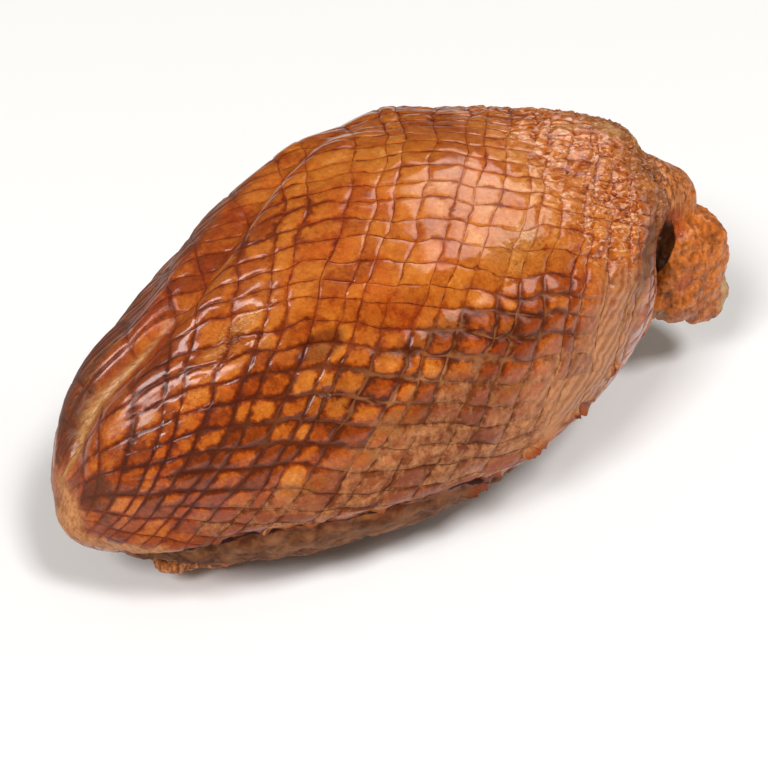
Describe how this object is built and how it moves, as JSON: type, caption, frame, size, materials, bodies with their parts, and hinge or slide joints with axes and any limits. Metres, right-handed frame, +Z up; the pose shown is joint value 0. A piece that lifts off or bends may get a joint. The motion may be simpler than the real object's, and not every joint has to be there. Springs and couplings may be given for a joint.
{
  "type": "smoked turkey breast",
  "caption": "Whole bone-in smoked turkey breast with glossy amber skin, the crisscross print of a roasting net and a bare cut joint at the shoulder end.",
  "frame": {"origin": "middle of the footprint, on the surface the breast rests on", "axes": "+X along the breast from the tail end to the shoulder end, +Y to the far side, away from the cut joint, +Z up through the keel"},
  "size_m": [0.3034, 0.163, 0.1463],
  "materials": {
    "smoked_skin": "glossy smoked skin, amber to red-brown, paler and matt low on the sides"
  },
  "bodies": {
    "root": {"smoked_turkey_breast": "smoked_skin"}
  },
  "joints": []
}
